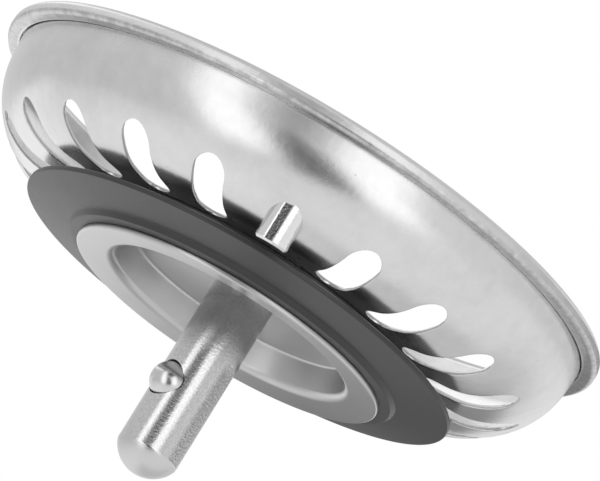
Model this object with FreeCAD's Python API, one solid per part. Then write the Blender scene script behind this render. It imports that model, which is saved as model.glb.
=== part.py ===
import FreeCAD, Part
import math
import os

# Sink strainer: a pressed basket with a rubber seal and a retainer cup under its floor,
# clamped between a stem with a sprung ball and a knob inside the basket.
# Frame: millimetres, +Z up out of the drain, Z = 0 at the lower edge of the seal's lip,
# the axis of the strainer on Z, the locating pin on the -Y side.

V = FreeCAD.Vector
UP = V(0, 0, 1)

# Basket, pressed from one sheet
rim_d = 82.0
sheet_t = 0.5
rim_overhang = 1.95
hem_round = 0.7
hem_low_round = 1.0
hem_flat = 0.15
hem_gap = 0.25
wall_draft_deg = 4.0
bowl_depth = 14.0
knuckle_r = 10.6
rim_inner_round = 0.8

# Slots round the floor
slot_places = 20
slot_w = 4.25
slot_len = 11.55
slot_wall_inset = 3.0

# Locating pin, welded under the knuckle in the place of one slot, its lower end leaning in
pin_d = 4.5
pin_wall_inset = 6.5
pin_drop = 1.93
pin_lean_deg = 9.5
pin_chamfer = 0.3

# Seal
seal_h = 2.5
lip_wall_inset = 9.75
lip_w = 5.6
lip_edge_t = 0.65
lip_edge_round = 0.2
lip_root_rise = 0.2
seal_step_w = 1.0
seal_step_h = 0.65
seal_foot_w = 0.4
seal_foot_rise = 0.2
seal_bore_clear = 0.2

# Retainer cup, its flange sloping down to its edge
cup_foot_inset = 1.4
cup_t = 0.7
cup_h = 4.75
cup_flange_w = 5.0
cup_flange_deg = 5.5
cup_flare = 0.6
cup_bend = 1.1
cup_edge_round = 0.3

# Stem
stem_d = 8.0
stem_len = 22.8
stem_dome_h = 2.75
shank_d = 6.0
shank_clear = 0.06
shank_chamfer = 0.6

# Ball catch in the stem
ball_d = 5.0
ball_rise = 8.65
ball_turn_deg = 50.0
ball_bore_clear = 0.12
ball_bore_wall = 1.3
mouth_depth = 0.55
mouth_catch = 0.08
mouth_taper = 0.35
ball_seat_gap = 0.01

# Catch spring
wire_d = 0.4
spring_mean_d = 3.2
spring_coils = 3.5
spring_gap = 0.01

# Gasket and knob, heights from the gasket's top
gasket_t = 0.5
gasket_d = 11.0
knob_base_d = 12.0
knob_base_h = 1.3
knob_waist_d = 8.8
knob_waist_h = 4.7
knob_head_d = 14.0
knob_head_low_h = 7.7
knob_head_high_h = 10.7
knob_top_h = 12.3
knob_crown_d = 9.52
knob_thread_depth = 7.3

# Levels and sizes that follow from the ones above
floor_low_z = seal_h
floor_top_z = floor_low_z + sheet_t
rim_top_z = floor_low_z + bowl_depth
hem_low_z = rim_top_z - hem_round - hem_flat - hem_low_round
rim_r = rim_d / 2
wall_r = rim_r - rim_overhang
slot_out_r = wall_r - slot_wall_inset
slot_in_r = slot_out_r - slot_len
pin_r = wall_r - pin_wall_inset
pin_end_z = floor_low_z - pin_drop
lip_r = wall_r - lip_wall_inset
lip_root_r = lip_r - lip_w
lip_root_top_z = lip_edge_t + lip_root_rise
seal_step_r = lip_root_r - seal_step_w
seal_foot_r = seal_step_r - seal_foot_w
cup_r = seal_foot_r - cup_foot_inset
cup_mouth_r = cup_r - cup_flange_w
cup_floor_r = cup_mouth_r - cup_flare
cup_floor_low_z = floor_low_z - cup_t
cup_face_z = floor_low_z - cup_h
stem_r = stem_d / 2
stem_end_z = cup_floor_low_z - stem_len
hole_r = shank_d / 2 + shank_clear
ball_r = ball_d / 2
ball_z = stem_end_z + ball_rise
ball_bore_r = ball_r + ball_bore_clear
ball_bore_back = stem_r - ball_bore_wall
mouth_start = stem_r - mouth_depth
mouth_r = ball_r - mouth_catch
knob_low_z = floor_top_z + gasket_t

# Bowl outline: the wall leans out by its draft and runs tangent into the knuckle
draft = math.radians(wall_draft_deg)
knuckle_z = floor_low_z + knuckle_r
rise = hem_low_z - knuckle_z + knuckle_r * math.sin(draft)
knuckle_c = wall_r - knuckle_r * math.cos(draft) - rise * math.tan(draft)


def ring(outline):
    """Turns a closed list of edges in the XZ plane once round Z."""
    face = Part.Face(Part.Wire(Part.sortEdges(outline)[0]))
    return face.revolve(V(0, 0, 0), UP, 360)


def xz(r, z):
    return V(r, 0, z)


def line(a, b):
    return Part.makeLine(xz(*a), xz(*b))


def arc(a, m, b):
    return Part.Arc(xz(*a), xz(*m), xz(*b)).toShape()


def polygon(points):
    return [line(a, b) for a, b in zip(points, points[1:] + points[:1])]


def quarter(cx, cz, r, a0, a1):
    """Arc of radius r round (cx, cz), from angle a0 to a1 in degrees."""
    p = []
    for a in (a0, (a0 + a1) / 2, a1):
        t = math.radians(a)
        p.append((cx + r * math.cos(t), cz + r * math.sin(t)))
    return arc(*p), p[0], p[2]


def bowl_points(r):
    """Start, middle and end of the knuckle's arc of radius r, on one side of the sheet."""
    start = (knuckle_c, knuckle_z - r)
    end = (knuckle_c + r * math.cos(draft), knuckle_z - r * math.sin(draft))
    mid_a = (-math.pi / 2 - draft) / 2
    mid = (knuckle_c + r * math.cos(mid_a), knuckle_z + r * math.sin(mid_a))
    return start, mid, end


def wall_at(r, z):
    """Radius of the leaning wall at height z, on the side with knuckle radius r."""
    end = bowl_points(r)[2]
    return end[0] + (z - end[1]) * math.tan(draft)


# Basket
out_a, out_m, out_b = bowl_points(knuckle_r)
in_a, in_m, in_b = bowl_points(knuckle_r - sheet_t)
groove_z = rim_top_z - sheet_t
out_top = (wall_at(knuckle_r, groove_z), groove_z)
hem_in = out_top[0] + hem_gap
round_low, low_a, low_b = quarter(rim_r - hem_low_round, hem_low_z + hem_low_round, hem_low_round, -90, 0)
round_top, top_a, top_b = quarter(rim_r - hem_round, rim_top_z - hem_round, hem_round, 0, 90)
in_top_z = rim_top_z - rim_inner_round
in_top = (wall_at(knuckle_r - sheet_t, in_top_z), in_top_z)
rim_in, rim_a, rim_b = quarter(in_top[0] + rim_inner_round, in_top_z, rim_inner_round, 90, 180)
basket = ring([
    line((hole_r, floor_low_z), out_a),
    arc(out_a, out_m, out_b),
    line(out_b, out_top),
    line(out_top, (hem_in, groove_z)),
    line((hem_in, groove_z), (hem_in, hem_low_z)),
    line((hem_in, hem_low_z), low_a),
    round_low,
    line(low_b, top_a),
    round_top,
    line(top_b, rim_a),
    rim_in,
    line(in_top, in_b),
    arc(in_a, in_m, in_b),
    line(in_a, (hole_r, floor_top_z)),
    line((hole_r, floor_top_z), (hole_r, floor_low_z)),
])
half_w = slot_w / 2
cut_h = knuckle_r
slot = Part.makeBox(slot_out_r - slot_in_r - slot_w, slot_w, cut_h,
                    V(slot_in_r + half_w, -half_w, floor_low_z - sheet_t))
for end_r in (slot_in_r + half_w, slot_out_r - half_w):
    slot = slot.fuse(Part.makeCylinder(half_w, cut_h, V(end_r, 0, floor_low_z - sheet_t)))
slot = slot.removeSplitter()
slots = []
for i in range(1, slot_places):
    one = slot.copy()
    one.rotate(V(0, 0, 0), UP, -90 + i * 360.0 / slot_places)
    slots.append(one)
basket = basket.cut(Part.makeCompound(slots))

# Locating pin: its upper end follows the outside of the bowl
envelope = ring([
    line((0, floor_low_z), out_a),
    arc(out_a, out_m, out_b),
    line(out_b, out_top),
    line(out_top, (0, groove_z)),
    line((0, groove_z), (0, floor_low_z)),
])
pin_lean = math.radians(pin_lean_deg)
pin_way = V(0, -math.sin(pin_lean), math.cos(pin_lean))
pin = Part.makeCylinder(pin_d / 2, knuckle_z - pin_end_z, V(0, -pin_r, pin_end_z), pin_way)
low_edge = min(pin.Edges, key=lambda e: e.BoundBox.ZMax)
pin = pin.makeChamfer(pin_chamfer, [low_edge])
pin = pin.cut(envelope)

# Retainer cup: floor against the basket, flange under the seal
cup_wall_top_r = cup_floor_r + cup_t
cup_out_r = cup_mouth_r + cup_t + cup_bend
slope = math.radians(cup_flange_deg)
low_bend, bend_a, bend_b = quarter(cup_mouth_r + cup_bend, cup_face_z + cup_bend, cup_bend,
                                   180, 270 - cup_flange_deg)


def flange_z(r):
    """Height of the flange's lower face at radius r."""
    return bend_b[1] - (r - bend_b[0]) * math.tan(slope)


def flange_top_z(r):
    return flange_z(r) + cup_t / math.cos(slope)


cup_edge_r = cup_r - cup_edge_round
cup_edge_z = flange_z(cup_edge_r) + cup_edge_round / math.cos(slope)
edge_low, edge_a, edge_b = quarter(cup_edge_r, cup_edge_z, cup_edge_round, -90 - cup_flange_deg, 0)
retainer = ring([
    line((hole_r, floor_low_z), (cup_wall_top_r, floor_low_z)),
    line((cup_wall_top_r, floor_low_z), (cup_out_r, flange_top_z(cup_out_r))),
    line((cup_out_r, flange_top_z(cup_out_r)), (cup_r, flange_top_z(cup_r))),
    line((cup_r, flange_top_z(cup_r)), edge_b),
    edge_low,
    line(edge_a, bend_b),
    low_bend,
    line(bend_a, (cup_floor_r, cup_floor_low_z)),
    line((cup_floor_r, cup_floor_low_z), (hole_r, cup_floor_low_z)),
    line((hole_r, cup_floor_low_z), (hole_r, floor_low_z)),
])

# Seal: a thick foot held by the cup and a thin lip that stands out under the slots
seal_bore_r = cup_out_r + seal_bore_clear
seal_bore_z = flange_top_z(seal_bore_r)
seal_foot_z = flange_top_z(cup_r) + seal_foot_rise
lip_root_low_z = seal_foot_z + seal_step_h
lip_mid_r = lip_r - lip_edge_round
lip_high_z = lip_edge_t - lip_edge_round
lip_low, lip_a, lip_b = quarter(lip_mid_r, lip_edge_round, lip_edge_round, -90, 0)
lip_high, lip_c, lip_d = quarter(lip_mid_r, lip_high_z, lip_edge_round, 0, 90)
seal = ring([
    line((seal_bore_r, floor_low_z), (lip_root_r, floor_low_z)),
    line((lip_root_r, floor_low_z), (lip_root_r, lip_root_top_z)),
    line((lip_root_r, lip_root_top_z), lip_d),
    lip_high,
    line(lip_c, lip_b),
    lip_low,
    line(lip_a, (seal_step_r, lip_root_low_z)),
    line((seal_step_r, lip_root_low_z), (seal_foot_r, seal_foot_z)),
    line((seal_foot_r, seal_foot_z), (cup_r, flange_top_z(cup_r))),
    line((cup_r, flange_top_z(cup_r)), (seal_bore_r, seal_bore_z)),
    line((seal_bore_r, seal_bore_z), (seal_bore_r, floor_low_z)),
])

# Stem: straight rod with a shallow domed end, and a shank up through cup, basket
# and gasket into the knob
shank_top_z = knob_low_z + knob_thread_depth - shank_clear - shank_chamfer / 2
dome_r = (stem_r ** 2 + stem_dome_h ** 2) / (2 * stem_dome_h)
dome_c = stem_end_z - stem_dome_h + dome_r
tip = (0, stem_end_z - stem_dome_h)
turn = math.asin(stem_r / dome_r) / 2
dome_mid = (dome_r * math.sin(turn), dome_c - dome_r * math.cos(turn))
shank_r = shank_d / 2
stem = ring([
    arc(tip, dome_mid, (stem_r, stem_end_z)),
    line((stem_r, stem_end_z), (stem_r, cup_floor_low_z)),
    line((stem_r, cup_floor_low_z), (shank_r, cup_floor_low_z)),
    line((shank_r, cup_floor_low_z), (shank_r, shank_top_z - shank_chamfer)),
    line((shank_r, shank_top_z - shank_chamfer), (shank_r - shank_chamfer, shank_top_z)),
    line((shank_r - shank_chamfer, shank_top_z), (0, shank_top_z)),
    line((0, shank_top_z), tip),
])

# Ball catch, built along +X and then turned: bore with a staked mouth,
# and the ball resting on the mouth's edge
ball_out = mouth_start - math.sqrt((ball_r + ball_seat_gap) ** 2 - mouth_r ** 2)
ALONG = V(1, 0, 0)
taper_x = mouth_start - mouth_taper
bore = Part.makeCylinder(ball_bore_r, ball_bore_back + taper_x, V(-ball_bore_back, 0, ball_z), ALONG)
taper = Part.makeCone(ball_bore_r, mouth_r, mouth_taper, V(taper_x, 0, ball_z), ALONG)
mouth = Part.makeCylinder(mouth_r, stem_r, V(mouth_start, 0, ball_z), ALONG)
cross_hole = bore.fuse([taper, mouth]).removeSplitter()
ball = Part.makeSphere(ball_r, V(ball_out, 0, ball_z), UP, -90, 90, 360)

# Spring: round wire from the blind end of the bore to the back of the ball
spring_r = spring_mean_d / 2
wire_r = wire_d / 2
reach = math.sqrt((ball_r + wire_r + spring_gap) ** 2 - spring_r ** 2)
spring_x0 = -ball_bore_back + wire_r + spring_gap
spring_len = ball_out - reach - spring_x0
quarter_turns = int(round(spring_coils * 4))
climb = spring_len / quarter_turns


def coil_point(i):
    """Point and direction of the wire's middle line after i quarter turns, round Z."""
    t = i * math.pi / 2
    at = V(spring_r * math.cos(t), spring_r * math.sin(t), climb * i)
    along = V(-spring_r * math.sin(t), spring_r * math.cos(t), climb / (math.pi / 2))
    return at, along.normalize()


def arc_from(a, corner, b):
    """Arc from a to b, touching the two equal legs that meet at corner."""
    middle = (a + b) * 0.5
    half = a.distanceToPoint(b) / 2
    leg = a.distanceToPoint(corner)
    top = middle + (corner - middle) * (half / (leg + half))
    return Part.Arc(a, top, b).toShape()


def biarc(i):
    """Two arcs that carry the wire through one quarter turn, with no kink at either end."""
    a, ta = coil_point(i)
    b, tb = coil_point(i + 1)
    v = b - a
    both = ta + tb
    k = 2 * (1 - ta.dot(tb))
    leg = (math.sqrt(v.dot(both) ** 2 + k * v.dot(v)) - v.dot(both)) / k
    qa = a + ta * leg
    qb = b - tb * leg
    m = (qa + qb) * 0.5
    return [arc_from(a, qa, m), arc_from(m, qb, b)]


turns = [edge for i in range(quarter_turns) for edge in biarc(i)]
wire_start, wire_along = coil_point(0)
section = Part.Wire(Part.makeCircle(wire_r, wire_start, wire_along))
spring = Part.Wire(turns).makePipeShell([section], True, False)
step = 0.05
line_points = Part.Wire(turns).discretize(Distance=step)
half_turn = int(math.pi * spring_r / step)
apart = []
for i, a in enumerate(line_points):
    apart += [a.distanceToPoint(b) for b in line_points[i + half_turn:]]
spring_free_gap = min(apart) - wire_d
spring.rotate(V(0, 0, 0), V(0, 1, 0), 90)
spring.translate(V(spring_x0, 0, ball_z))

turn_deg = -90 - ball_turn_deg
for piece in (cross_hole, ball, spring):
    piece.rotate(V(0, 0, 0), UP, turn_deg)
stem = stem.cut(cross_hole)

# Gasket under the knob
gasket = Part.makeCylinder(gasket_d / 2, gasket_t, V(0, 0, floor_top_z))
gasket = gasket.cut(Part.makeCylinder(hole_r, gasket_t, V(0, 0, floor_top_z)))

# Knob: base, waist, head with a shallow crown, blind threaded bore from below
bore_top_z = knob_low_z + knob_thread_depth
base_top_z = knob_low_z + knob_base_h
knob_top_z = knob_low_z + knob_top_h
head_high_z = knob_low_z + knob_head_high_h
waist = (knob_waist_d / 2, knob_low_z + knob_waist_h)
head_low = (knob_head_d / 2, knob_low_z + knob_head_low_h)
head_high = (knob_head_d / 2, head_high_z)
crown_mid = (knob_crown_d / 2, (head_high_z + 2 * knob_top_z) / 3)
base_top = (knob_base_d / 2, base_top_z)
crown = Part.BSplineCurve()
crown.interpolate([xz(*head_high), xz(*crown_mid), xz(0, knob_top_z)],
                  InitialTangent=UP, FinalTangent=V(-1, 0, 0))
neck = Part.BSplineCurve()
neck.interpolate([xz(*base_top), xz(*waist), xz(*head_low)],
                 InitialTangent=V(-1, 0, 0), FinalTangent=UP)
knob = ring([
    line((hole_r, knob_low_z), (knob_base_d / 2, knob_low_z)),
    line((knob_base_d / 2, knob_low_z), base_top),
    neck.toShape(),
    line(head_low, head_high),
    crown.toShape(),
    line((0, knob_top_z), (0, bore_top_z)),
    line((0, bore_top_z), (hole_r, bore_top_z)),
    line((hole_r, bore_top_z), (hole_r, knob_low_z)),
])

os.makedirs("parts", exist_ok=True)
nodes = {
    "basket": basket,
    "locating_pin": pin,
    "seal": seal,
    "seal_retainer": retainer,
    "stem": stem,
    "catch_ball": ball,
    "catch_spring": spring,
    "knob_gasket": gasket,
    "pull_knob": knob,
}
for name, shape in nodes.items():
    solids = shape.Solids
    box = shape.BoundBox
    print(name, shape.ShapeType, len(solids), shape.isValid(), round(shape.Volume, 2),
          [round(x, 2) for x in (box.XMin, box.XMax, box.YMin, box.YMax, box.ZMin, box.ZMax)])
    solid = solids[0] if len(solids) == 1 else shape
    solid.exportStep("parts/" + name + ".step")
print("ball centre from axis", round(ball_out, 4), "stands out", round(ball_out + ball_r - stem_r, 4))
print("flange edge", round(flange_z(cup_r), 3), "seal foot", round(seal_foot_z, 3),
      "lip root", round(lip_root_low_z, 3))
print("spring length", round(spring_len, 3), "least gap between turns", round(spring_free_gap, 3))
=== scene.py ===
# %% [markdown]
# # A sink strainer, seen from below
# The part is a pressed steel basket with a rubber lip seal, a steel cup that holds the seal,
# a turned stem with a sprung ball, and a small locating pin. This lesson dresses the packed
# solids: each turned or pressed piece is traced as an outline, spun, and given its finish.

# %% Load the frame
import math
import bpy
from mathutils import Matrix, Vector


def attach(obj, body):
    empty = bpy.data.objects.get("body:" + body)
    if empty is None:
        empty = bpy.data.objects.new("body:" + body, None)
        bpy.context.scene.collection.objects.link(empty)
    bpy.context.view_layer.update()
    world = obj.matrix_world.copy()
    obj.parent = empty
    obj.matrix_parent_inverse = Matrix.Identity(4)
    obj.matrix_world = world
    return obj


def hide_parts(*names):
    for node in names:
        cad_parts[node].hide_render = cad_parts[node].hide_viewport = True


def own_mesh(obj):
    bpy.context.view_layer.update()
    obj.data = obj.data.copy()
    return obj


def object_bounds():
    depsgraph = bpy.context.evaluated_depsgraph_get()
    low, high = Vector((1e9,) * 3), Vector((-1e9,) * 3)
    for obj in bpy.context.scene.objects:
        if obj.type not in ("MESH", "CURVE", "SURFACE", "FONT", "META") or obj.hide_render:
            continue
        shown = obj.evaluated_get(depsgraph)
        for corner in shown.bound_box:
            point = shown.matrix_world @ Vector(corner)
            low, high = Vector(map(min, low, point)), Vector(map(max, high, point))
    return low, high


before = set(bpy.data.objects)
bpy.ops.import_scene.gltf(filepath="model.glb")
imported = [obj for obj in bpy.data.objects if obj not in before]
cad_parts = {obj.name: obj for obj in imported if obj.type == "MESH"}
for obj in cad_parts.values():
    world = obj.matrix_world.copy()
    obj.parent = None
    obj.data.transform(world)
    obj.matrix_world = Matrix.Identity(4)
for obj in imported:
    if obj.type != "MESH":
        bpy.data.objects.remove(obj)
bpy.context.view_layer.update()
MM = 0.001
print("nodes:", ", ".join(sorted(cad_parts)))

# %% [markdown]
# ## The camera
# The photograph looks up at the strainer from a little below the rim, with a long lens, and the
# picture is rolled. A free camera could be moved until it fits, but the rim's ellipse already
# gives the tilt, the roll and the scale, so the camera is placed from those numbers.

# %% Place the camera
PHOTO_SIZE = (600, 481)
PIXELS_PER_MM = 8.3263
RIM_PIXEL = (306.23, 195.78)
RIM_LEVEL = 16.4
BELOW = math.radians(14.4)
AROUND = math.radians(1.0)
ROLL = math.radians(31.7)
LENS = 600.0
SENSOR = 36.0

to_camera = Vector((
    math.sin(AROUND) * math.cos(BELOW),
    -math.cos(AROUND) * math.cos(BELOW),
    -math.sin(BELOW),
))
level_right = Vector((math.cos(AROUND), math.sin(AROUND), 0))
level_up = level_right.cross(-to_camera)
right = math.cos(ROLL) * level_right + math.sin(ROLL) * level_up
up = math.cos(ROLL) * level_up - math.sin(ROLL) * level_right
off_right = (RIM_PIXEL[0] - PHOTO_SIZE[0] / 2) / PIXELS_PER_MM * MM
off_up = (PHOTO_SIZE[1] / 2 - RIM_PIXEL[1]) / PIXELS_PER_MM * MM
aim = Vector((0, 0, RIM_LEVEL * MM)) - off_right * right - off_up * up
distance = LENS / SENSOR * PHOTO_SIZE[0] / PIXELS_PER_MM * MM

bpy.ops.object.camera_add()
camera = bpy.context.object
camera.data.lens = LENS
camera.data.sensor_width = SENSOR
camera.data.clip_start = 0.01
camera.data.clip_end = 20
turned = Matrix((right, up, to_camera)).transposed().to_4x4()
camera.matrix_world = Matrix.Translation(aim + to_camera * distance) @ turned
bpy.context.scene.camera = camera
print("camera is", round(distance, 3), "m away and looks at", [round(c / MM, 1) for c in aim])

# %% [markdown]
# ## Sizes
# The numbers repeat the solids' own sizes in millimetres, so that each new piece lies where its
# solid is. Z = 0 is the lower edge of the seal's lip, and the pin is on the -Y side.

# %% Sizes of the basket
RIM_R = 41.0
RIM_TOP = 16.5
SHEET = 0.5
HEM_LOW = 14.65
HEM_ROUND = 0.7
HEM_LOW_ROUND = 0.6
HEM_GAP = 0.1
FLOOR = 2.5
KNUCKLE = 10.6
WALL_R = 39.05
DRAFT = math.radians(4.0)
HOLE_R = 3.06
SLOT_PLACES = 20
SLOT_W = 4.25
SLOT_IN = 24.5
SLOT_OUT = 36.05

knuckle_z = FLOOR + KNUCKLE
lean = math.tan(DRAFT)
wall_rise = HEM_LOW - knuckle_z + KNUCKLE * math.sin(DRAFT)
knuckle_c = WALL_R - KNUCKLE * math.cos(DRAFT) - wall_rise * lean
print("the knuckle turns round r", round(knuckle_c, 3), "z", round(knuckle_z, 3))

# %% [markdown]
# ## Tracing and spinning
# Turned and pressed parts are round, so one outline in the XZ plane holds their whole shape. The
# outline starts as a plane whose corners are merged into one point, the point is extruded from
# corner to corner, and the wire is spun round Z. A screw modifier would do the same, but the
# spin leaves a plain mesh that can be cut and bevelled at once.

# %% Helpers for outlines
SAME_PLACE = 0.002


def arc(cr, cz, radius, start, end, count):
    """Points on an arc round (cr, cz), from one angle to another in degrees."""
    turns = [math.radians(start + (end - start) * i / count) for i in range(count + 1)]
    return [(cr + radius * math.cos(t), cz + radius * math.sin(t)) for t in turns]


def rounded(corners, count=6):
    """Outline through corners (r, z, radius), each corner rounded by its own radius."""
    points = []
    for i, (r, z, radius) in enumerate(corners):
        here = Vector((r, z))
        if radius == 0 or i in (0, len(corners) - 1):
            points.append((r, z))
            continue
        back = (Vector(corners[i - 1][:2]) - here).normalized()
        ahead = (Vector(corners[i + 1][:2]) - here).normalized()
        half = back.angle(ahead) / 2
        middle = here + (back + ahead).normalized() * radius / math.sin(half)
        reach = radius / math.tan(half)
        first = here + back * reach - middle
        last = here + ahead * reach - middle
        for k in range(count + 1):
            spoke = first.normalized().slerp(last.normalized(), k / count)
            points.append(tuple(middle + spoke * radius))
    return points


def start_wire(name):
    """A new piece in edit mode that is one point at the origin."""
    bpy.ops.object.select_all(action="DESELECT")
    bpy.ops.mesh.primitive_plane_add(size=MM)
    piece = bpy.context.object
    piece.name = name
    piece.data.name = name
    bpy.ops.object.mode_set(mode="EDIT")
    bpy.ops.mesh.select_mode(type="VERT")
    bpy.ops.mesh.select_all(action="SELECT")
    bpy.ops.mesh.merge(type="CENTER")
    return piece


def trace(points):
    """Moves the one selected point to the first place and extrudes it through the rest."""
    here = Vector((0, 0, 0))
    for i, (r, z) in enumerate(points):
        there = Vector((r * MM, 0, z * MM))
        if i == 0:
            bpy.ops.transform.translate(value=there - here)
        else:
            bpy.ops.mesh.extrude_region_move(TRANSFORM_OT_translate={"value": there - here})
        here = there


def close_mesh():
    """Merges doubles, turns the faces outwards and leaves edit mode."""
    bpy.ops.mesh.select_all(action="SELECT")
    bpy.ops.mesh.remove_doubles(threshold=SAME_PLACE * MM)
    bpy.ops.mesh.delete_loose()
    bpy.ops.mesh.select_all(action="SELECT")
    bpy.ops.mesh.normals_make_consistent(inside=False)
    bpy.ops.object.mode_set(mode="OBJECT")


def spun(name, points, steps, angle=2 * math.pi):
    """A piece made by spinning an outline round Z."""
    piece = start_wire(name)
    trace(points)
    bpy.ops.mesh.select_all(action="SELECT")
    bpy.ops.mesh.spin(steps=steps, angle=angle, center=(0, 0, 0), axis=(0, 0, -1))
    close_mesh()
    return piece


def pick(piece, faces=None, edges=None):
    """Edit mode with only those faces, or edges, selected whose place passes the test."""
    mesh = piece.data
    for group in (mesh.vertices, mesh.edges, mesh.polygons):
        group.foreach_set("select", [False] * len(group))
    chosen = 0
    if faces:
        for face in mesh.polygons:
            face.select = faces(face.center / MM, face.normal)
            chosen += face.select
    if edges:
        for edge in mesh.edges:
            a, b = (mesh.vertices[i].co / MM for i in edge.vertices)
            edge.select = edges(a, b)
            chosen += edge.select
    bpy.context.tool_settings.mesh_select_mode = (False, edges is not None, faces is not None)
    bpy.ops.object.mode_set(mode="EDIT")
    return chosen


def smooth(piece, angle=32):
    """Smooth faces with sharp edges past an angle, and normals weighted by the larger faces."""
    bpy.ops.object.select_all(action="DESELECT")
    piece.select_set(True)
    bpy.context.view_layer.objects.active = piece
    bpy.ops.object.shade_smooth_by_angle(angle=math.radians(angle))
    weigh = piece.modifiers.new("weigh", "WEIGHTED_NORMAL")
    weigh.keep_sharp = True
    bpy.ops.object.modifier_apply(modifier=weigh.name)
    print(piece.name, "has", len(piece.data.polygons), "faces")


def settle(piece, body, slot, *nodes):
    """The piece rides on a body and stands for the solids named; its slot is not used."""
    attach(piece, body)
    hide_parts(*nodes)


print("helpers are ready")

# %% [markdown]
# ## One bay of the basket
# The slots are punched radially, 20 places round the floor's edge, and one place is left whole
# for the pin. A boolean would cut them, but it leaves slivers that show in polished steel. So one
# bay is built flat: the slot's outline and the bay's border have as many corners each, a bridge
# joins them, the plate gets its thickness, the slot's edges are bevelled, and only then is the
# plate pressed to the bowl's curve.

# %% The bowl's curve
def sheet_z(r, share):
    """Height of the sheet at radius r: share 0 is its outside, 1 its inside."""
    if r <= knuckle_c:
        return FLOOR + share * SHEET
    out = knuckle_z - math.sqrt(KNUCKLE ** 2 - (r - knuckle_c) ** 2)
    inner = knuckle_z - math.sqrt((KNUCKLE - SHEET) ** 2 - (r - knuckle_c) ** 2)
    return out + share * (inner - out)


def along_sheet(first, last, count):
    """Radii from first to last, spaced evenly along the bowl's outside."""
    def length(r):
        return r if r <= knuckle_c else knuckle_c + KNUCKLE * math.asin((r - knuckle_c) / KNUCKLE)

    def radius(s):
        return s if s <= knuckle_c else knuckle_c + KNUCKLE * math.sin((s - knuckle_c) / KNUCKLE)

    a, b = length(first), length(last)
    return [radius(a + (b - a) * i / count) for i in range(count + 1)]


BAY_IN = 23.4
BAY_OUT = 37.4
ROUND_STEPS = 240
BAY_ARC = ROUND_STEPS // SLOT_PLACES
BAY_SIDE = 24
BAY_RINGS = 5
bay_turn = 2 * math.pi / SLOT_PLACES
first_bay = -math.pi / 2 + bay_turn
slot_climb = [round(sheet_z(r, 0), 2) for r in (SLOT_IN, SLOT_OUT)]
print("a slot's outside climbs from {} to {} mm".format(*slot_climb))

# %% Outline of the slot and border of its bay
def slot_outline():
    """Corners of the slot along +X, starting at the inner end's lower side."""
    half = SLOT_W / 2
    sides = along_sheet(SLOT_IN + half, SLOT_OUT - half, BAY_SIDE)
    ends = [math.pi / BAY_ARC * i for i in range(BAY_ARC)]
    points = [(r, -half) for r in sides[:-1]]
    points += [(SLOT_OUT - half + half * math.sin(t), -half * math.cos(t)) for t in ends]
    points += [(r, half) for r in reversed(sides[1:])]
    points += [(SLOT_IN + half - half * math.sin(t), half * math.cos(t)) for t in ends]
    return points


def bay_border():
    """As many corners on the bay's border, in the same order."""
    sides = along_sheet(BAY_IN, BAY_OUT, BAY_SIDE)
    half = bay_turn / 2
    swing = [-half + bay_turn * i / BAY_ARC for i in range(BAY_ARC)]
    points = [(r * math.cos(half), -r * math.sin(half)) for r in sides[:-1]]
    points += [(BAY_OUT * math.cos(t), BAY_OUT * math.sin(t)) for t in swing]
    points += [(r * math.cos(half), r * math.sin(half)) for r in reversed(sides[1:])]
    points += [(BAY_IN * math.cos(t), -BAY_IN * math.sin(t)) for t in swing]
    return points


corners = slot_outline()
print("slot and border have", len(corners), "and", len(bay_border()), "corners")

# %% Bridge and thicken the bay
def turned_to(points, angle):
    """The same points turned round Z, in metres."""
    c, s = math.cos(angle), math.sin(angle)
    return [((x * c - y * s) * MM, (x * s + y * c) * MM, 0) for x, y in points]


bpy.ops.object.select_all(action="DESELECT")
bpy.ops.mesh.primitive_circle_add(vertices=len(corners), radius=SLOT_W * MM)
bays = bpy.context.object
bpy.ops.object.mode_set(mode="EDIT")
bpy.ops.mesh.primitive_circle_add(vertices=len(corners), radius=2 * SLOT_W * MM)
bpy.ops.object.mode_set(mode="OBJECT")
for vertex, place in zip(bays.data.vertices, turned_to(corners + bay_border(), first_bay)):
    vertex.co = place
bpy.ops.object.mode_set(mode="EDIT")
bpy.ops.mesh.select_all(action="SELECT")
bpy.ops.mesh.bridge_edge_loops(number_cuts=BAY_RINGS, interpolation="LINEAR")
bpy.ops.mesh.select_all(action="SELECT")
bpy.ops.mesh.extrude_region_move(TRANSFORM_OT_translate={"value": (0, 0, SHEET * MM)})
bpy.ops.object.mode_set(mode="OBJECT")
print("the flat bay has", len(bays.data.polygons), "faces")

# %% Open the bay's border and bevel its slot
OFF_SLOT = SLOT_W / 2 + 0.1
ON_SLOT = SLOT_W / 2 + 0.01
EDGE_SOFT = 0.09


def slot_distance(point):
    """Distance of a point from the middle line of the first bay's slot."""
    x = point.x * math.cos(first_bay) + point.y * math.sin(first_bay)
    y = point.y * math.cos(first_bay) - point.x * math.sin(first_bay)
    nearest = min(max(x, SLOT_IN + SLOT_W / 2), SLOT_OUT - SLOT_W / 2)
    return math.hypot(x - nearest, y)


def is_border(centre, normal):
    """Whether a face stands on the bay's border, where the next bay joins."""
    return abs(normal.z) < 0.5 and slot_distance(centre) > OFF_SLOT


def is_slot_edge(a, b):
    """Whether an edge runs round the slot on one side of the plate."""
    return a.z == b.z and max(slot_distance(a), slot_distance(b)) < ON_SLOT


cut = pick(bays, faces=is_border)
bpy.ops.mesh.delete(type="FACE")
bpy.ops.object.mode_set(mode="OBJECT")
rim = pick(bays, edges=is_slot_edge)
bpy.ops.mesh.bevel(offset=EDGE_SOFT * MM, segments=3, profile=0.5, affect="EDGES")
bpy.ops.object.mode_set(mode="OBJECT")
print("border faces taken away:", cut, "slot edges bevelled:", rim)

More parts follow.
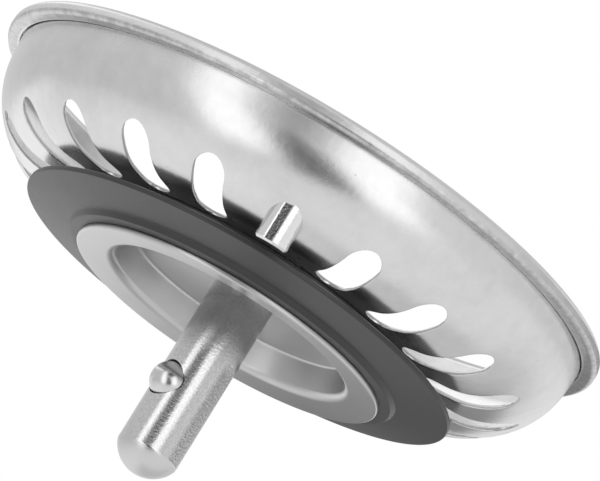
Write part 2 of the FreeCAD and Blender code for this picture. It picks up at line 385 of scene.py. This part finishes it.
# %% Press the bay and copy it round
for vertex in bays.data.vertices:
    reach = math.hypot(vertex.co.x, vertex.co.y) / MM
    vertex.co.z = sheet_z(reach, vertex.co.z / MM / SHEET) * MM
copies = SLOT_PLACES - 2
bpy.ops.object.mode_set(mode="EDIT")
bpy.ops.mesh.select_all(action="SELECT")
bpy.ops.mesh.spin(steps=copies, dupli=True, angle=copies * bay_turn,
                  center=(0, 0, 0), axis=(0, 0, -1))
bpy.ops.object.mode_set(mode="OBJECT")
print("slots:", copies + 1, "faces:", len(bays.data.polygons))

# %% [markdown]
# ## The rest of the basket
# Inside the bays lies the plain floor with its hole, and outside them the wall, which leans out a
# little and ends in a hem folded outwards and down. Both are spun with the same number of
# steps as the bays have corners, so their edges meet point for point. The place of the pin is a
# plain strip of the same sheet.

# %% Spin the floor
floor_piece = spun("floor", [
    (BAY_IN, FLOOR),
    (HOLE_R, FLOOR),
    (HOLE_R, FLOOR + SHEET),
    (BAY_IN, FLOOR + SHEET),
], ROUND_STEPS)
print("the floor's plain part is", 2 * BAY_IN, "mm across")

# %% Outline of the wall
KNUCKLE_STEPS = 10
start_out = -math.degrees(math.acos((BAY_OUT - knuckle_c) / KNUCKLE))
start_in = -math.degrees(math.acos((BAY_OUT - knuckle_c) / (KNUCKLE - SHEET)))
draft_deg = math.degrees(DRAFT)
outside = arc(knuckle_c, knuckle_z, KNUCKLE, start_out, -draft_deg, KNUCKLE_STEPS)
inside = arc(knuckle_c, knuckle_z, KNUCKLE - SHEET, -draft_deg, start_in, KNUCKLE_STEPS)


def wall_r(z, knuckle_end):
    """Radius of the leaning wall at height z, above the end of its knuckle."""
    return knuckle_end[0] + (z - knuckle_end[1]) * lean


print("the knuckle ends at r", round(outside[-1][0], 2), "z", round(outside[-1][1], 2))

# %% Spin the wall with its hem
HEM_GAP_DEPTH = 0.6
GROOVE_ROUND = 0.03
FOLD_ROUND = 0.12
RIM_IN_ROUND = 0.8
groove = HEM_LOW + HEM_GAP_DEPTH
groove_r = wall_r(groove, outside[-1])
fold_r = groove_r + HEM_GAP
lip_in = wall_r(RIM_TOP - RIM_IN_ROUND, inside[0])
hem = rounded([
    (groove_r, groove, 0),
    (fold_r, groove, GROOVE_ROUND),
    (fold_r, HEM_LOW, FOLD_ROUND),
    (RIM_R, HEM_LOW, HEM_LOW_ROUND),
    (RIM_R, RIM_TOP, HEM_ROUND),
    (lip_in, RIM_TOP, RIM_IN_ROUND),
    (inside[0][0], inside[0][1], 0),
], count=9)
wall_low = outside[-1][1]
wall_levels = [wall_low + (groove - wall_low) * share for share in (0.25, 0.5, 0.75)]
wall_steps = [(wall_r(z, outside[-1]), z) for z in wall_levels]
wall_outline = outside + wall_steps + hem + inside[1:]
wall_piece = spun("wall", wall_outline, ROUND_STEPS)
print("wall outline has", len(wall_outline), "points")

# %% Spin the plain bay
strip_out = [(r, sheet_z(r, 0)) for r in along_sheet(BAY_IN, BAY_OUT, BAY_SIDE)]
strip_in = [(r, sheet_z(r, 1)) for r in along_sheet(BAY_IN, BAY_OUT, BAY_SIDE)]
plain = []
for name, strip in (("plain_out", strip_out), ("plain_in", strip_in)):
    plain.append(spun(name, strip, BAY_ARC, bay_turn))
    plain[-1].data.transform(Matrix.Rotation(first_bay - 1.5 * bay_turn, 4, "Z"))
print("the pin's place is plain over", round(math.degrees(bay_turn), 1), "degrees")

# %% Join the basket
bpy.ops.object.select_all(action="DESELECT")
for piece in (floor_piece, wall_piece, bays, *plain):
    piece.select_set(True)
bpy.context.view_layer.objects.active = bays
bpy.ops.object.join()
basket = bpy.context.object
basket.name = "basket_shell"
basket.data.name = "basket_shell"
bpy.ops.object.mode_set(mode="EDIT")
close_mesh()
smooth(basket)
settle(basket, "strainer", "polished_steel", "basket")

# %% [markdown]
# ## The seal
# The seal is moulded rubber: a thick foot that the cup holds, a step, and a thin lip that stands
# out under the slots. Its corners are slightly rounded, as a mould leaves them. Each corner of
# an outline is given as radius, height and rounding.

# %% Spin the seal
SEAL_BORE = 17.9
SEAL_MIDDLE = 0.5
BODY_R = 23.7
LIP_R = 29.3
LIP_ROOT_TOP = 0.85
LIP_EDGE_TOP = 0.65
STEP_R = 22.7
STEP_TOP = -1.077
FOOT_R = 22.3
FOOT_LOW = -1.727
FOOT_LOW_IN = -1.638
CUP_R = 20.9
FLANGE_TOP = -1.927
seal = spun("lip_seal", rounded([
    (SEAL_BORE, SEAL_MIDDLE, 0),
    (SEAL_BORE, FLOOR, 0.1),
    (BODY_R, FLOOR, 0.12),
    (BODY_R, LIP_ROOT_TOP, 0.3),
    (LIP_R, LIP_EDGE_TOP, 0.2),
    (LIP_R, 0.0, 0.2),
    (STEP_R, STEP_TOP, 0.2),
    (FOOT_R, FOOT_LOW, 0.15),
    (CUP_R, FLANGE_TOP, 0),
    (SEAL_BORE, FOOT_LOW_IN, 0.1),
    (SEAL_BORE, SEAL_MIDDLE, 0),
]), ROUND_STEPS)
smooth(seal)
settle(seal, "strainer", "seal_rubber", "seal")

# %% [markdown]
# ## The retainer cup
# A small pressed cup lies with its floor against the basket and its flange under the seal. It is
# one sheet, so its outline runs down one side of the sheet and back on the other.

# %% Spin the retainer
CUP_T = 0.7
CUP_FLOOR = FLOOR - CUP_T
CUP_MIDDLE = 2.2
WALL_TOP_OUT = 16.0
WALL_TOP_IN = 15.3
WALL_FOOT_OUT = (17.7, -1.619)
WALL_FOOT_IN = (16.11, -2.17)
FLANGE_LOW = -2.631
cup = spun("retainer_cup", rounded([
    (HOLE_R, CUP_MIDDLE, 0),
    (HOLE_R, FLOOR, 0.08),
    (WALL_TOP_OUT, FLOOR, 0.8),
    (*WALL_FOOT_OUT, 0.35),
    (CUP_R, FLANGE_TOP, 0.12),
    (CUP_R, FLANGE_LOW, 0.3),
    (*WALL_FOOT_IN, 1.1),
    (WALL_TOP_IN, CUP_FLOOR, 0.4),
    (HOLE_R, CUP_FLOOR, 0.08),
    (HOLE_R, CUP_MIDDLE, 0),
]), ROUND_STEPS)
smooth(cup)
settle(cup, "strainer", "satin_steel", "seal_retainer")

# %% [markdown]
# ## The stem
# The stem is turned from rod: a plain cylinder with a domed end, and a thinner shank that
# goes up into the knob. The ball's hole is a real cut, made by a boolean, because a cross hole in
# a rod has no simple outline. The mouth is a little tighter than the bore, which keeps the ball in.

# %% Spin the stem
STEM_R = 4.0
STEM_END = -21.0
DOME_H = 2.75
SHANK_R = 3.0
SHANK_TOP = 10.44
SHANK_CUT = 0.6
STEM_STEPS = 256
DOME_STEPS = 24
DOME_SHORT = 2.0
dome_r = (STEM_R ** 2 + DOME_H ** 2) / (2 * DOME_H)
dome_z = STEM_END - DOME_H + dome_r
dome_turn = math.degrees(math.asin(STEM_R / dome_r))
dome = arc(0, dome_z, dome_r, -90, -90 + dome_turn - DOME_SHORT, DOME_STEPS)
stem = spun("turned_stem", dome + rounded([
    (*dome[-1], 0),
    (STEM_R, STEM_END + 0.1, 0.12),
    (STEM_R, CUP_FLOOR, 0.06),
    (SHANK_R, CUP_FLOOR, 0),
    (SHANK_R, SHANK_TOP - SHANK_CUT, 0),
    (SHANK_R - SHANK_CUT, SHANK_TOP, 0),
    (0, SHANK_TOP, 0),
])[1:], STEM_STEPS)
print("the dome's radius is", round(dome_r, 2), "mm")

# %% Cut the ball's hole
BALL_R = 2.5
BALL_Z = -12.35
BALL_OUT = 2.7839
BALL_TURN = math.radians(50)
BORE_R = 2.62
BORE_BACK = -2.7
MOUTH_R = 2.42
MOUTH_AT = 3.45
MOUTH_TAPER = 0.35
BORE_PAST = 6.0
BALL_STEPS = 96
ball_way = Vector((-math.sin(BALL_TURN), -math.cos(BALL_TURN), 0))
ball_level = Vector((0, 0, BALL_Z * MM))
along_ball_way = ball_way.to_track_quat("Z", "Y").to_matrix().to_4x4()
bore = spun("ball_bore", [
    (0, BORE_BACK),
    (BORE_R, BORE_BACK),
    (BORE_R, MOUTH_AT - MOUTH_TAPER),
    (MOUTH_R, MOUTH_AT),
    (MOUTH_R, BORE_PAST),
    (0, BORE_PAST),
], BALL_STEPS)
bore.data.transform(Matrix.Translation(ball_level) @ along_ball_way)
hole = stem.modifiers.new("hole", "BOOLEAN")
hole.operation = "DIFFERENCE"
hole.solver = "EXACT"
hole.object = bore
bpy.ops.object.select_all(action="DESELECT")
stem.select_set(True)
bpy.context.view_layer.objects.active = stem
bpy.ops.object.modifier_apply(modifier=hole.name)
bpy.data.objects.remove(bore)
smooth(stem)
settle(stem, "strainer", "turned_steel", "stem")

# %% [markdown]
# ## The ball and its spring
# The ball is a polished bearing ball, a half circle spun round. It rests on the mouth's edge and
# goes in against a small spring. The spring is hidden, but it shortens when the ball goes in, so
# it is built as well.

# %% Ball
BALL_RINGS = 64
ball = spun("polished_ball", arc(0, 0, BALL_R, -90, 90, BALL_RINGS), BALL_STEPS)
ball.data.transform(Matrix.Translation(ball_way * BALL_OUT * MM + ball_level))
smooth(ball)
settle(ball, "ball", "bright_steel", "catch_ball")
print("ball stands out", round(BALL_OUT + BALL_R - STEM_R, 2), "mm")

# %% Wind the spring
WIRE_R = 0.2
COIL_R = 1.6
COILS = 3.5
COIL_START = -2.49
COIL_LEN = 3.087
WIRE_SIDES = 12
COIL_STEPS = 28
bpy.ops.object.select_all(action="DESELECT")
bpy.ops.mesh.primitive_circle_add(vertices=WIRE_SIDES, radius=WIRE_R * MM,
                                  rotation=(math.pi / 2, 0, 0))
spring = bpy.context.object
spring.name = "ball_spring"
spring.data.name = "ball_spring"
bpy.ops.object.transform_apply(location=False, rotation=True, scale=True)
spring.data.transform(Matrix.Translation((COIL_R * MM, 0, 0)))
screw = spring.modifiers.new("coils", "SCREW")
screw.angle = COILS * 2 * math.pi
screw.screw_offset = COIL_LEN * MM
screw.steps = screw.render_steps = int(COILS * COIL_STEPS)
bpy.ops.object.modifier_apply(modifier=screw.name)
bpy.ops.object.mode_set(mode="EDIT")
bpy.ops.mesh.select_all(action="SELECT")
bpy.ops.mesh.fill_holes(sides=0)
close_mesh()
print("the spring has", COILS, "turns")

# %% Put the spring behind the ball
SPRING_SHARP = 50
coil_place = Matrix.Translation(ball_way * COIL_START * MM + ball_level)
spring.data.transform(coil_place @ along_ball_way)
smooth(spring, SPRING_SHARP)
settle(spring, "strainer", "spring_steel", "catch_spring")
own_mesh(spring)

# %% [markdown]
# ## The locating pin
# A short bright pin is welded under the knuckle in the place of one slot. It leans in a little, its
# lower end is chamfered, and its upper end follows the bowl: the top ring's points slide along
# the pin until they meet the sheet. A narrow flat runs along its front, as a vice leaves it.

# %% Spin the pin
PIN_R = 2.25
PIN_AT = 32.55
PIN_END = 0.57
PIN_CUT = 0.3
PIN_LEAN = math.radians(9.5)
PIN_TOP = 1.6
PIN_EDGE = 0.08
PIN_STEPS = 96
pin = spun("bright_pin", rounded([
    (0, 0, 0),
    (PIN_R - PIN_CUT, 0, PIN_EDGE),
    (PIN_R, PIN_CUT, PIN_EDGE),
    (PIN_R, PIN_TOP * 0.75, 0),
    (PIN_R, PIN_TOP, 0),
    (PIN_R * 2 / 3, PIN_TOP, 0),
    (PIN_R / 3, PIN_TOP, 0),
    (0, PIN_TOP, 0),
]), PIN_STEPS)
print("the pin leans by", round(math.degrees(PIN_LEAN), 1), "degrees")

# %% Press the pin's flat and fit its top to the bowl
FLAT_WAY = math.radians(-90 - 6.0)
FLAT_OUT = PIN_R * math.cos(math.radians(21.0))
FLAT_END = math.radians(3.0)
flat = Vector((math.cos(FLAT_WAY), math.sin(FLAT_WAY), 0))
for vertex in pin.data.vertices:
    over = vertex.co.dot(flat) - FLAT_OUT * MM
    if over > 0 and math.atan2(vertex.co.x, -vertex.co.y) < FLAT_END:
        vertex.co -= flat * over
top_ring = [v for v in pin.data.vertices if v.co.z > (PIN_TOP - PIN_EDGE) * MM]
pin_place = Matrix.Translation((0, -PIN_AT * MM, PIN_END * MM))
pin.data.transform(pin_place @ Matrix.Rotation(PIN_LEAN, 4, "X"))
pin_way = Vector((0, -math.sin(PIN_LEAN), math.cos(PIN_LEAN)))
SLIDES = 20
for vertex in top_ring:
    for _ in range(SLIDES):
        short = sheet_z(math.hypot(vertex.co.x, vertex.co.y) / MM, 0) * MM - vertex.co.z
        vertex.co += pin_way * short
smooth(pin)
settle(pin, "strainer", "bright_steel", "locating_pin")

# %% [markdown]
# ## The knob and its gasket
# The photograph doesn't show the inside. A strainer of this kind has a small turned knob there,
# screwed on the stem's shank, over a thin rubber gasket.

# %% Spin the gasket
GASKET_R = 5.5
GASKET_TOP = 3.5
GASKET_MIDDLE = 3.2
GASKET_STEPS = 96
gasket = spun("gasket_ring", rounded([
    (HOLE_R, GASKET_MIDDLE, 0),
    (HOLE_R, GASKET_TOP, 0.05),
    (GASKET_R, GASKET_TOP, 0.12),
    (GASKET_R, FLOOR + SHEET, 0.12),
    (HOLE_R, FLOOR + SHEET, 0.05),
    (HOLE_R, GASKET_MIDDLE, 0),
]), GASKET_STEPS)
smooth(gasket)
settle(gasket, "strainer", "gasket_rubber", "knob_gasket")

# %% Spin the knob
KNOB_FOOT_R = 6.0
KNOB_WAIST_R = 4.4
KNOB_HEAD_R = 7.0
KNOB_CROWN_R = 3.0
KNOB_TOP = 15.8
KNOB_HOLE_END = 10.8
KNOB_STEPS = 128
knob = spun("turned_knob", rounded([
    (HOLE_R, GASKET_TOP, 0),
    (KNOB_FOOT_R, GASKET_TOP, 0.15),
    (KNOB_FOOT_R, 4.8, 0.3),
    (KNOB_WAIST_R, 6.0, 2.0),
    (KNOB_WAIST_R, 9.4, 2.2),
    (KNOB_HEAD_R, 11.4, 0.5),
    (KNOB_HEAD_R, 14.8, 1.2),
    (KNOB_CROWN_R, KNOB_TOP, 1.5),
    (0, KNOB_TOP, 0),
], count=8) + [
    (0, KNOB_HOLE_END),
    (HOLE_R, KNOB_HOLE_END),
    (HOLE_R, GASKET_TOP),
], KNOB_STEPS)
smooth(knob)
settle(knob, "strainer", "bright_steel", "pull_knob")

# %% [markdown]
# ## Shader maths
# A finish is built from nodes. Written as node by node code it hides what it does, so a small
# class wraps a socket, and sums and products of wrapped sockets add the Math nodes.

# %% The wrapped socket
class Wire:
    """A socket in a node tree. Arithmetic on it adds Math nodes."""

    def __init__(self, tree, socket=None):
        self.tree = tree
        self.socket = socket

    def add(self, kind, settings=None, inputs=None, out=0):
        """Adds a node: its settings first, then the values or links of its sockets."""
        made = self.tree.nodes.new(kind)
        for name, value in (settings or {}).items():
            setattr(made, name, value)
        for name, value in (inputs or {}).items():
            if isinstance(value, Wire):
                self.tree.links.new(value.socket, made.inputs[name])
            else:
                made.inputs[name].default_value = value
        return Wire(self.tree, made.outputs[out] if made.outputs else None)

    def math(self, operation, *values):
        return self.add("ShaderNodeMath", {"operation": operation}, dict(enumerate(values)))

    def __add__(self, other):
        return self.math("ADD", self, other)

    def __sub__(self, other):
        return self.math("SUBTRACT", self, other)

    def __rsub__(self, other):
        return self.math("SUBTRACT", other, self)

    def __mul__(self, other):
        return self.math("MULTIPLY", self, other)

    __radd__ = __add__
    __rmul__ = __mul__

    def between(self, low, high):
        """0 below low, 1 above high, and a smooth step in between."""
        return self.add("ShaderNodeMapRange", {"interpolation_type": "SMOOTHSTEP"},
                        {"Value": self, "From Min": low, "From Max": high})


def new_finish(name):
    """A material with a bare Principled shader, and a wire to add nodes with."""
    finish = bpy.data.materials.new(name)
    finish.use_nodes = True
    return finish, finish.node_tree.nodes["Principled BSDF"], Wire(finish.node_tree)


def feed(shader, wires):
    """Links wires to the shader's sockets, or sets plain values on them."""
    for name, value in wires.items():
        if isinstance(value, Wire):
            value.tree.links.new(value.socket, shader.inputs[name])
        else:
            shader.inputs[name].default_value = value


def grey_mix(make, mask, low, high):
    """A colour between two greys, or between a wire's colour and a grey, by a mask."""
    ends = [v if isinstance(v, Wire) else (v, v, v, 1) for v in (low, high)]
    inputs = {0: mask, 6: ends[0], 7: ends[1]}
    return make.add("ShaderNodeMix", {"data_type": "RGBA"}, inputs, out=2)


print("shader helper is ready")

# %% [markdown]
# ## Steel finishes
# The basket is bright drawn sheet, the cup is satin, the stem shows the marks of the lathe, the
# pin has fine chatter marks, the ball is lapped and the knob is polished. All are bare steel, so
# they differ in roughness and in the size and direction of their marks. A painted picture could
# carry such marks too, but noise in millimetres needs no unwrapping and stays sharp up close.

# %% Helpers for finishes
def coordinates(make):
    """Object coordinates in millimetres."""
    point = make.add("ShaderNodeTexCoord", out=3)
    return make.add("ShaderNodeVectorMath", {"operation": "SCALE"}, {0: point, "Scale": 1 / MM})


def split(make, vector):
    """The three parts of a vector."""
    return [make.add("ShaderNodeSeparateXYZ", inputs={0: vector}, out=i) for i in range(3)]


def joined(make, *parts):
    """A vector from its three parts."""
    return make.add("ShaderNodeCombineXYZ", inputs=dict(enumerate(parts)))


def noise(make, vector, scale, detail=3.0, rough=0.5):
    """Cloudy noise, with its scale in waves per millimetre."""
    return make.add("ShaderNodeTexNoise", inputs={
        "Vector": vector, "Scale": scale, "Detail": detail, "Roughness": rough})


def bump(make, strength, depth, height):
    """A normal that follows a height, with its depth in millimetres."""
    return make.add("ShaderNodeBump", inputs={
        "Strength": strength, "Distance": depth * MM, "Height": height})


def dress(finish, *pieces):
    """Gives pieces one finish in place of what they had."""
    for piece in pieces:
        piece.data.materials.clear()
        piece.data.materials.append(finish)
        print(piece.name, "wears", finish.name)


print("finish helpers are ready")

# %% Marks of the polished sheet
polished, shader, make = new_finish("polished_sheet")
point = coordinates(make)
x, y, z = split(make, point)
around = make.math("ARCTAN2", y, x)
reach = make.math("SQRT", x * x + y * y)
cloud = noise(make, point, 0.16, 5.0, 0.62)
mottle = noise(make, point, 0.5, 4.0, 0.6)
lines = noise(make, joined(make, around * 9.0, z * 0.6, reach * 0.6), 2.2, 4.0, 0.6)
drop = joined(make, x * 1.6, y * 1.6, z * 0.5)
stain = noise(make, drop, 0.9, 2.0).between(0.74, 0.80)
print("the sheet has clouds, drawn lines and a few stains")

# %% Creases of the hem, painted shade under it, and the sheet's finish
hem_zone = reach.between(WALL_R + 0.3, WALL_R + 0.55) * z.between(HEM_LOW - 0.25, HEM_LOW + 0.05)
# Painted shade: the band under the hem's fold is darkened, broken up by its crease marks.
painted_hem_shade = hem_zone * (1 - z.between(HEM_LOW + 0.35, HEM_LOW + 0.75))
wrinkle = noise(make, joined(make, around * 45.0, z * 0.9, reach * 0.9), 1.0, 3.0, 0.65)
sheet_tone = grey_mix(make, cloud * 0.6 + mottle * 0.4, 0.5, 0.72)
tone_with_hem_shade = grey_mix(make, painted_hem_shade * (wrinkle * 1.4 - 0.35), sheet_tone, 0.24)
feed(shader, {
    "Base Color": grey_mix(make, stain * 0.6, tone_with_hem_shade, 0.3),
    "Metallic": 1.0,
    "Roughness": lines * 0.05 + cloud * 0.12 + hem_zone * 0.08 + 0.17,
    "Normal": bump(make, 0.5, 0.05, lines * 0.1 + hem_zone * wrinkle * 1.2 + mottle * 0.8),
})
dress(polished, basket)

# %% Satin cup
satin, shader, make = new_finish("satin_sheet")
point = coordinates(make)
grain = noise(make, point, 5.0, 4.0, 0.65)
feed(shader, {
    "Base Color": grey_mix(make, noise(make, point, 0.15, 2.0), 0.44, 0.52),
    "Metallic": 1.0,
    "Roughness": grain * 0.12 + 0.24,
    "Normal": bump(make, 0.22, 0.02, grain),
})
dress(satin, cup)

# %% Turned rod
turned_rod, shader, make = new_finish("turned_rod")
point = coordinates(make)
x, y, z = split(make, point)
rings = noise(make, joined(make, x * 0.35, y * 0.35, z * 5.0), 1.6, 4.0, 0.6)
speck = noise(make, point, 3.6, 3.0, 0.7)
domed_end = 1 - z.between(STEM_END - 0.1, STEM_END + 0.1)
speckled = speck.between(0.3, 0.7) * (1 - domed_end) + domed_end * 0.5
feed(shader, {
    "Base Color": grey_mix(make, speckled, 0.5, 0.61),
    "Metallic": 1.0,
    "Roughness": rings * 0.05 + speck * 0.08 + domed_end * 0.2 + 0.06,
    "Normal": bump(make, 0.4, 0.04, rings * 0.3 + speck),
})
dress(turned_rod, stem)

# %% Pin
drawn_pin, shader, make = new_finish("drawn_pin")
chatter = noise(make, coordinates(make), 3.0, 3.0, 0.6)
feed(shader, {
    "Base Color": grey_mix(make, chatter, 0.66, 0.74),
    "Metallic": 1.0,
    "Roughness": chatter * 0.06 + 0.03,
    "Normal": bump(make, 0.6, 0.05, chatter),
})
dress(drawn_pin, pin)

# %% Knob, ball and spring
def hazy_steel(name, scale, detail, greys, gloss):
    """Steel without marks: one cloudy haze changes its grey and its roughness."""
    finish, shader, make = new_finish(name)
    haze = noise(make, coordinates(make), scale, detail)
    feed(shader, {
        "Base Color": grey_mix(make, haze, *greys),
        "Metallic": 1.0,
        "Roughness": haze * (gloss[1] - gloss[0]) + gloss[0],
    })
    return finish


dress(hazy_steel("bright_polish", 0.8, 3.0, (0.68, 0.74), (0.03, 0.08)), knob)
dress(hazy_steel("lapped_ball", 1.2, 3.0, (0.54, 0.62), (0.2, 0.28)), ball)
dress(hazy_steel("drawn_wire", 4.0, 2.0, (0.42, 0.52), (0.25, 0.35)), spring)

# %% [markdown]
# ## Rubber
# The seal is black moulded rubber with a dull skin. Its grey in the photograph is mostly the
# bright room, mirrored at a flat angle, so the colour stays dark and the skin gets a soft gloss.
# Only the lip's upper side is paler: painted light, which brightens a side that lies in shade.

# %% Seal and gasket rubber
rubber, shader, make = new_finish("moulded_rubber")
point = coordinates(make)
z = split(make, point)[2]
skin = noise(make, point, 3.5, 4.0, 0.6)
cloud = noise(make, point, 0.25, 2.0)
# Painted light: the lip's upper side is painted paler where it lies in shade.
painted_light_upper_side = z.between(0.45, 0.6) * (1 - z.between(FLOOR - 0.1, FLOOR + 0.1))
feed(shader, {
    "Base Color": grey_mix(make, painted_light_upper_side, grey_mix(make, cloud, 0.026, 0.038), 0.1),
    "Specular IOR Level": 0.44,
    "Roughness": skin * 0.12 + cloud * 0.06 + 0.32,
    "Normal": bump(make, 0.15, 0.03, skin),
})
dress(rubber, seal, gasket)

# %% [markdown]
# ## The room
# Steel shows the room around it more than its own colour. The room is a white tent with two tall
# bright windows, one on each side of the camera, and a dark gap between them where the camera
# stands. Cards hang around them: a dark one in front that draws the stripe on stem and pin, grey
# ones behind on the right and below it, pale ones at the sides, and a table's edge on the left.
# Lamps could show as such shapes too, but painted on the world they keep straight edges, which
# the steel mirrors as soft stripes. For the camera the tent is plain white.

# %% Directions in the room
world = bpy.data.worlds.new("white_tent")
bpy.context.scene.world = world
world.use_nodes = True
world.node_tree.nodes.clear()
make = Wire(world.node_tree)
toward = make.add("ShaderNodeTexCoord", out=0)
DEGREES = 180 / math.pi


def along(axis):
    """How far a direction in the room points along an axis."""
    ways = {0: toward, 1: tuple(axis)}
    return make.add("ShaderNodeVectorMath", {"operation": "DOT_PRODUCT"}, ways, out=1)


def patch(value, low, high, soft):
    """1 between low and high, with soft borders."""
    return value.between(low - soft, low + soft) * (1 - value.between(high - soft, high + soft))


swing = make.math("ARCTAN2", along(right), along(to_camera)) * DEGREES
height = make.math("ARCSINE", along(up)) * DEGREES
turn = make.math("ARCTAN2", along((1, 0, 0)), along((0, -1, 0))) * DEGREES
lift = make.math("ARCSINE", along((0, 0, 1))) * DEGREES
print("in degrees: swing and height as the picture lies, turn and lift as the part stands")

# %% Windows and the dark gap
LEFT_LEAN = 0.25
RIGHT_LEAN = 0.3
left_window = patch(swing, -47, -22, 3) * patch(height, -7, 55, 8)
right_window = patch(swing, 11, 39, 3) * patch(height, -18, 45, 8)
gap_left = (swing - height * LEFT_LEAN).between(-20.5, -14.5)
gap_right = 1 - (swing + height * RIGHT_LEAN).between(3, 9)
dark_gap = gap_left * gap_right * height.between(-21, -12) * (1 - height.between(16, 38))
print("the gap narrows upwards by", LEFT_LEAN + RIGHT_LEAN, "degrees for each degree")

# %% Cards and the table's edge
dark_card = patch(turn, -30, 3, 3) * patch(lift, 12.5, 27, 2)
back_card = patch(turn, 78, 178, 12) * patch(lift, 13.5, 20, 1)
low_card = patch(turn, 118, 178, 14) * (1 - lift.between(-24, -2))
left_card = patch(turn, -150, -72, 8)
right_card = patch(turn, 100, 150, 6)
side_cards = (left_card * 0.9 + right_card * 0.3) * patch(lift, 19, 34, 1.5)
TABLE_UP = (-0.146, -0.385, 0.911)
table_side = patch(turn, -175, -55, 15)
over_table = along(TABLE_UP).between(-0.42, -0.34) * table_side
print("the table leans", round(math.degrees(math.acos(TABLE_UP[2])), 1), "degrees")

# %% World
PLAIN_LIGHT = 0.75
tent = 1.05 - height.between(-30, 10) * 0.2 - back_card * 0.9 + side_cards - low_card * 0.26
table = table_side * 0.07 - over_table * 0.13
darkened = (1 - dark_gap * 0.94) * (1 - dark_card * 0.95)
windows = (left_window * 0.95 + right_window * 0.9) * (1 - dark_card)
mirrored = (tent + table) * darkened + windows
is_camera = make.add("ShaderNodeLightPath", out=0)
is_glossy = make.add("ShaderNodeLightPath", out=3)
print("the room tells apart:", is_camera.socket.name, "and", is_glossy.socket.name)
level = is_camera + (1 - is_camera) * (is_glossy * mirrored + (1 - is_glossy) * PLAIN_LIGHT)
background = make.add("ShaderNodeBackground", inputs={"Color": (1, 1, 1, 1), "Strength": level})
make.add("ShaderNodeOutputWorld", inputs={"Surface": background})

# %% [markdown]
# ## Lamps and floor
# A wide lamp above and a smaller one beside the camera give the rubber and the floor a soft
# direction. The floor lies under the stem's tip. It is plain and pale from above, and clear from
# below, where this camera stands. Steel that faces down mirrors its far side, which glows: painted
# light on the left and a painted shadow of the part on the right.

# %% Lamps
def soft_lamp(name, azimuth, elevation, away, width, depth, watts):
    """A square lamp that lights the part from one side and isn't mirrored itself."""
    a, e = math.radians(azimuth), math.radians(elevation)
    way = Vector((math.sin(a) * math.cos(e), -math.cos(a) * math.cos(e), math.sin(e)))
    bpy.ops.object.light_add(type="AREA", location=way * away)
    lamp = bpy.context.object
    lamp.name = name
    lamp.rotation_euler = way.to_track_quat("Z", "Y").to_euler()
    lamp.data.shape = "RECTANGLE"
    lamp.data.size = width
    lamp.data.size_y = depth
    lamp.data.energy = watts
    lamp.visible_camera = False
    lamp.visible_glossy = False
    print(name, "is", away, "m away")


soft_lamp("side_lamp", azimuth=25, elevation=20, away=0.8, width=0.4, depth=0.6, watts=1.2)
soft_lamp("top_lamp", azimuth=30, elevation=80, away=1.0, width=0.8, depth=0.8, watts=2.4)

# %% Floor
FLOOR_SIZE = 6.0
FLOOR_CELLS = 8
low_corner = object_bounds()[0]
bpy.ops.object.select_all(action="DESELECT")
bpy.ops.mesh.primitive_grid_add(x_subdivisions=FLOOR_CELLS, y_subdivisions=FLOOR_CELLS,
                                size=FLOOR_SIZE, location=(0, 0, low_corner.z))
floor = bpy.context.object
floor.name = "pale_floor"
print("the floor lies at", round(low_corner.z / MM, 2), "mm")

# %% The floor's finish
pale, shader, make = new_finish("pale_floor")
point = coordinates(make)
x, y = split(make, point)[:2]
tone = noise(make, point, 0.01, 2.0)
feed(shader, {"Base Color": grey_mix(make, tone, 0.86, 0.9), "Roughness": 0.9})
matt = Wire(make.tree, shader.outputs[0])
clear = make.add("ShaderNodeBsdfTransparent")
# Painted light: seen in steel, the floor's far side glows, brighter on the left and darker to the
# right as a painted shadow.
glow_with_painted_shadow = make.add("ShaderNodeEmission", inputs={"Color": 1.22 - x.between(-28, 14) * 0.92})
from_below = make.add("ShaderNodeNewGeometry", out=6)
seen_camera = make.add("ShaderNodeLightPath", out=0)
seen_glossy = make.add("ShaderNodeLightPath", out=3)
far_side = y.between(20, 50) * x.between(-150, -90) * (1 - x.between(50, 90))
shown = make.add("ShaderNodeMixShader", inputs={0: seen_glossy, 1: matt, 2: glow_with_painted_shadow})
there = make.math("MAXIMUM", seen_camera, seen_glossy * far_side) * (1 - from_below)
mixed = make.add("ShaderNodeMixShader", inputs={0: there, 1: clear, 2: shown})
output = make.tree.nodes["Material Output"]
make.tree.links.new(mixed.socket, output.inputs["Surface"])
dress(pale, floor)

# %% [markdown]
# ## The view transform
# The picture is shown as it is rendered, without a film look.

# %% Finish
bpy.context.scene.view_settings.view_transform = "Standard"
